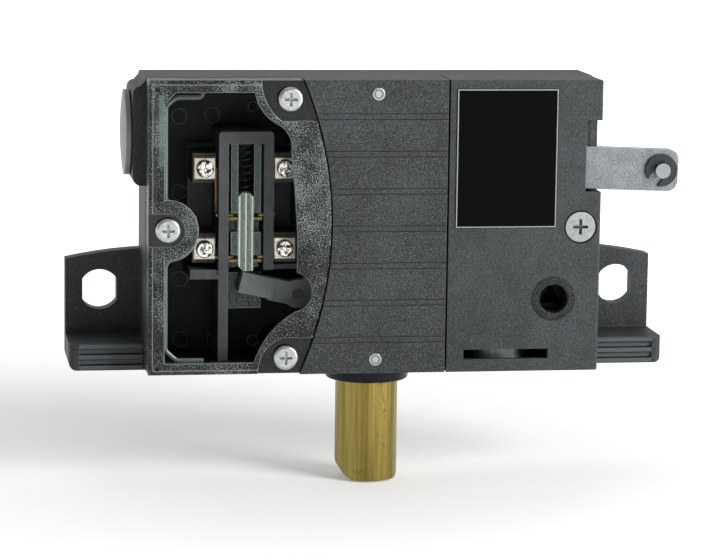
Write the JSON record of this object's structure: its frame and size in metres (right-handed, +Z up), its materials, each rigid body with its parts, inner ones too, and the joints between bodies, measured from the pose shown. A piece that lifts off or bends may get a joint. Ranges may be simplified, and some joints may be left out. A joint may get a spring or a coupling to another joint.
{
  "type": "tongue interlock switch",
  "caption": "Door interlock switch: plastic housing with ears, clear contact window, sprung brass locking bolt below and a steel lever that lifts it.",
  "frame": {"origin": "on the mounting plane, midway between the two ear holes", "axes": "+X to the right, +Y into the wall behind the mounting plane, +Z up; the locking bolt points down -Z"},
  "size_m": [0.1943, 0.0388, 0.1297],
  "materials": {
    "housing_plastic": "glass-filled, fine grain",
    "clear_cover": "smoky clear, frosted rim",
    "middle_plastic": "glass-filled, fine grain",
    "right_plastic": "glass-filled, fine grain",
    "seal_rubber": "matt",
    "plated_screw": "bright zinc plated",
    "plate_black": "satin black, pale border",
    "ring_plastic": "smooth",
    "release_metal": "darkened steel",
    "drum_steel": "turned",
    "lever_zinc": "zinc plated strip",
    "pin_steel": "plated",
    "ring_black": "black oxide",
    "bolt_brass": "drawn bar, dull",
    "collar_black": "smooth",
    "spring_steel": "spring wire",
    "rocker_steel": "sheared plate",
    "carrier_grey": "moulded",
    "contact_brass": "strip",
    "terminal_zinc": "plated",
    "clear_part": "clear",
    "rocker_grey": "moulded",
    "entry_plastic": "moulded, light bloom"
  },
  "bodies": {
    "housing": {"housing_base": "housing_plastic", "contact_cover": "clear_cover", "contact_cover_seal": "seal_rubber", "contact_cover_screws": "plated_screw", "ribbed_cover": "middle_plastic", "ribbed_cover_rivets": "plated_screw", "lever_cover": "right_plastic", "lever_cover_screw": "plated_screw", "name_plate": "plate_black", "release_ring": "ring_plastic", "release_spigot": "pin_steel", "drum_axle": "pin_steel", "guide_collar": "collar_black", "spring_guide": "collar_black", "lever_pivot_pin": "pin_steel", "lever_pivot_ring": "ring_black", "lift_rocker_pin": "pin_steel", "contact_block": "carrier_grey", "fixed_contacts": "contact_brass", "terminal_washers": "terminal_zinc", "terminal_screws": "terminal_zinc", "contact_guides": "clear_part", "lower_guide": "clear_part", "contact_rocker_pin": "pin_steel", "cable_entry_plug": "entry_plastic", "cable_entry_seal": "seal_rubber"},
    "bolt": {"locking_bolt": "bolt_brass", "bolt_spring": "spring_steel"},
    "lever": {"actuating_lever": "lever_zinc", "drive_pin": "pin_steel", "lever_end_pin": "pin_steel", "lever_end_ring": "ring_black"},
    "lift": {"lift_rocker": "rocker_steel"},
    "release": {"release_shaft": "release_metal", "release_arm": "rocker_steel"},
    "contact_rocker_body": {"contact_rocker": "rocker_grey"},
    "plunger": {"contact_plunger": "clear_part", "contact_bridges": "contact_brass", "plunger_spring": "spring_steel"},
    "drum": {"adjusting_drum": "drum_steel"}
  },
  "joints": [
    {"name": "bolt_slide", "type": "slide", "parent": "housing", "child": "bolt", "axis": [0, 0, 1], "range_m": [0, 0.018], "stiffness_N_per_m": 600, "springref_m": -0.015, "deforming": ["bolt_spring"]},
    {"name": "lever_swing", "type": "hinge", "parent": "housing", "child": "lever", "pos_m": [0.06, -0.033, 0.04203], "axis": [0, -1, 0], "range_deg": [0, 32]},
    {"name": "lift_rocker_swing", "type": "hinge", "parent": "housing", "child": "lift", "pos_m": [0.028, -0.0205, 0.03504], "axis": [0, 1, 0], "range_deg": [0, 52.09]},
    {"name": "release_turn", "type": "hinge", "parent": "housing", "child": "release", "pos_m": [0.0572, -0.0205, 0.0004], "axis": [0, 1, 0], "range_deg": [0, 20.82]},
    {"name": "contact_rocker_swing", "type": "hinge", "parent": "housing", "child": "contact_rocker_body", "pos_m": [-0.0234, -0.027, 0.001], "axis": [0, -1, 0], "range_deg": [0, 12]},
    {"name": "plunger_slide", "type": "slide", "parent": "housing", "child": "plunger", "axis": [0, 0, -1], "range_m": [0, 0.00331], "deforming": ["plunger_spring"]},
    {"name": "drum_turn", "type": "hinge", "parent": "housing", "child": "drum", "pos_m": [0.042, -0.0205, -0.018], "axis": [0, 0, 1], "range_deg": [0, 90]}
  ],
  "couplings": [
    {"joint": "lever_swing", "follows": "bolt_slide", "rad_per_m": 31.028},
    {"joint": "lift_rocker_swing", "follows": "bolt_slide", "rad_per_m": 50.501},
    {"joint": "release_turn", "follows": "bolt_slide", "rad_per_m": 20.187},
    {"joint": "contact_rocker_swing", "follows": "bolt_slide", "rad_per_m": 11.636},
    {"joint": "plunger_slide", "follows": "bolt_slide", "ratio": 0.18333}
  ]
}
